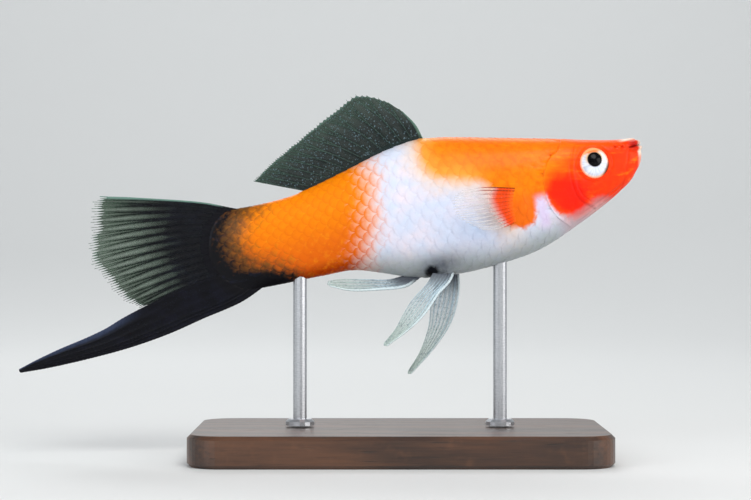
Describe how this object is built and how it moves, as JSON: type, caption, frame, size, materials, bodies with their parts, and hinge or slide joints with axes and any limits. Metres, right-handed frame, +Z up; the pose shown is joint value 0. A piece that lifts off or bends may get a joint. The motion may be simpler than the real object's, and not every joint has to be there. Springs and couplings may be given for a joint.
{
  "type": "swordtail fish model on display stand",
  "caption": "Life-size still model of a male swordtail in orange, white and black, nose up on a flat stand with rods.",
  "frame": {"origin": "middle of the stand base's underside", "axes": "+X the way the fish faces, +Y the fish's left, +Z up"},
  "size_m": [0.0999, 0.036, 0.058],
  "materials": {
    "skin": "satin, orange front and peduncle, white flank",
    "eye": "glossy, black pupil on a white iris",
    "clear_fin": "thin and translucent between its rays",
    "black_fin": "satin black that clears towards the free edge",
    "stand_wood": "dark stained and waxed",
    "stand_steel": "satin"
  },
  "bodies": {
    "root": {"head": "skin", "lower_jaw": "skin", "torso": "skin", "tail": "skin", "eye_left": "eye", "eye_right": "eye", "dorsal_fin": "clear_fin", "caudal_fin": "black_fin", "sword": "black_fin", "gonopodium": "clear_fin", "pectoral_fin_left": "clear_fin", "pectoral_fin_right": "clear_fin", "pelvic_fin_left": "clear_fin", "pelvic_fin_right": "clear_fin", "stand_base": "stand_wood", "stand_rod_front": "stand_steel", "stand_rod_rear": "stand_steel"}
  },
  "joints": []
}
